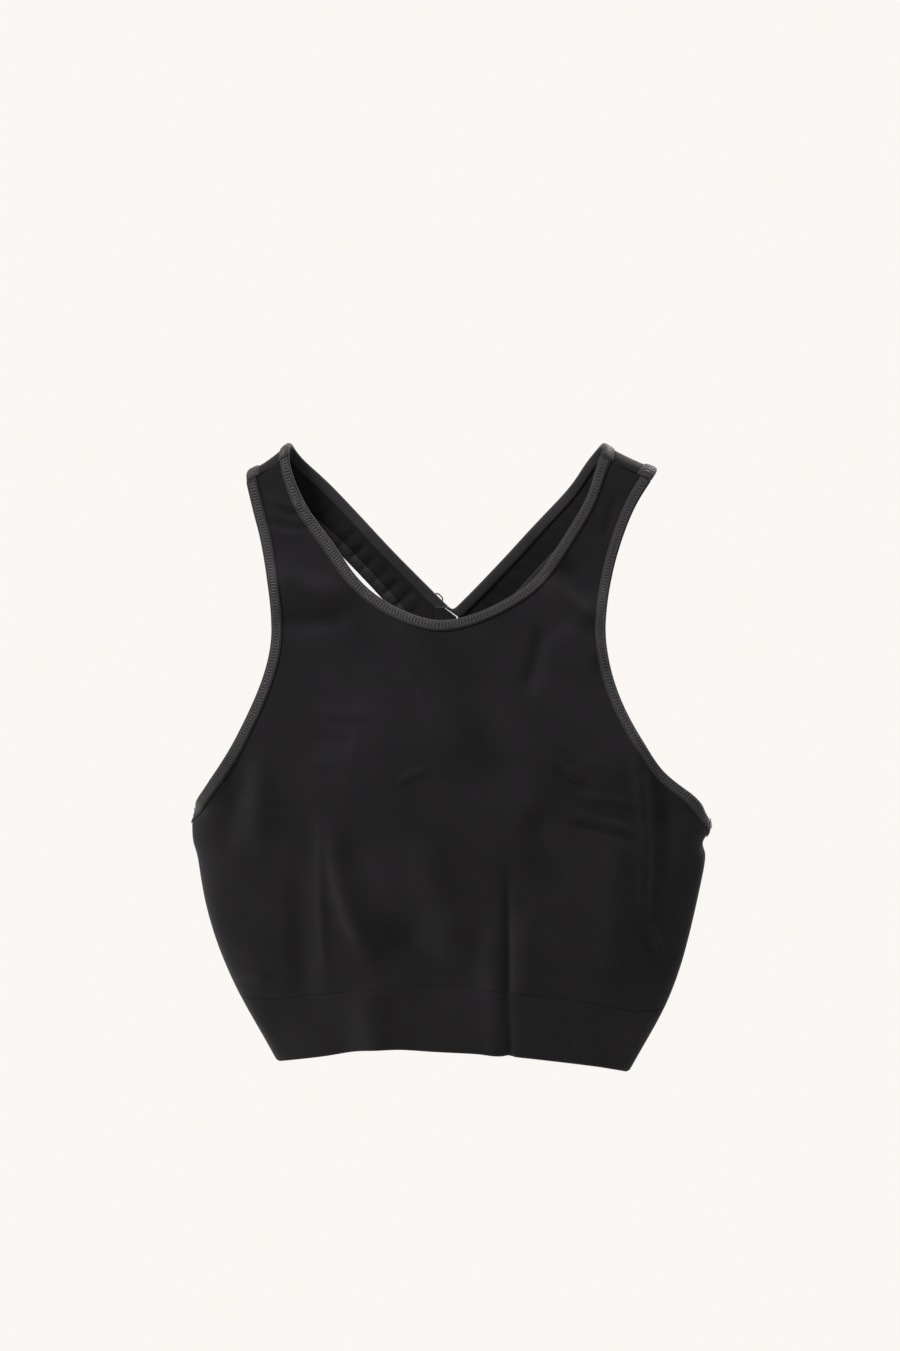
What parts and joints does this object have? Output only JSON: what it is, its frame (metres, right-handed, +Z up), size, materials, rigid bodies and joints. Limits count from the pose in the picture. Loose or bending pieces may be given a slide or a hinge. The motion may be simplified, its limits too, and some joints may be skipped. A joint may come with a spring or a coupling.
{
  "type": "racer-back crop top",
  "caption": "Racer-back gymnastics crop top with bound neck and armholes, folded hem band, lined front and bust pads, hanging by its straps.",
  "frame": {"origin": "midway between the two shoulders, on the centre line, at the height where the hanger's arms touch the middle of each strap", "axes": "+Z up, front of the garment faces -Y, +X towards the side that is on the right seen from the front"},
  "size_m": [0.3091, 0.0489, 0.3702],
  "materials": {
    "body_knit": "matt black stretch knit with a fine wale and a faint sheen",
    "binding_knit": "charcoal stretch tape folded round the edges, a little lighter than the body",
    "sewing_thread": "black polyester thread, cover-stitched",
    "pad_foam": "black knit laminated on moulded foam",
    "lining_knit": "smooth black lining knit",
    "elastic_webbing": "black knitted elastic with lengthwise ribs",
    "label_satin": "black woven satin, blank, with a pale woven edge"
  },
  "bodies": {
    "garment": {"front_panel": "body_knit", "back_panel": "body_knit", "front_lining": "lining_knit", "front_hem_band": "body_knit", "back_hem_band": "body_knit", "underband_elastic": "elastic_webbing", "band_seam": "sewing_thread", "front_neck_binding": "binding_knit", "front_neck_stitching": "sewing_thread", "back_neck_binding": "binding_knit", "back_neck_stitching": "sewing_thread", "front_armhole_binding_left": "binding_knit", "front_armhole_stitching_left": "sewing_thread", "front_armhole_binding_right": "binding_knit", "front_armhole_stitching_right": "sewing_thread", "back_armhole_binding_left": "binding_knit", "back_armhole_stitching_left": "sewing_thread", "back_armhole_binding_right": "binding_knit", "back_armhole_stitching_right": "sewing_thread", "cup_pad_left": "pad_foam", "shoulder_seam_left": "sewing_thread", "side_seam_left": "sewing_thread", "underarm_tack_left": "sewing_thread", "cup_pad_right": "pad_foam", "shoulder_seam_right": "sewing_thread", "side_seam_right": "sewing_thread", "underarm_tack_right": "sewing_thread", "label_tack": "sewing_thread"},
    "label": {"care_label": "label_satin"}
  },
  "joints": [
    {"name": "label_flip", "type": "hinge", "parent": "garment", "child": "label", "pos_m": [-0.003, 0.011, -0.086], "axis": [-1, 0, 0], "range_deg": [0, 110]}
  ]
}
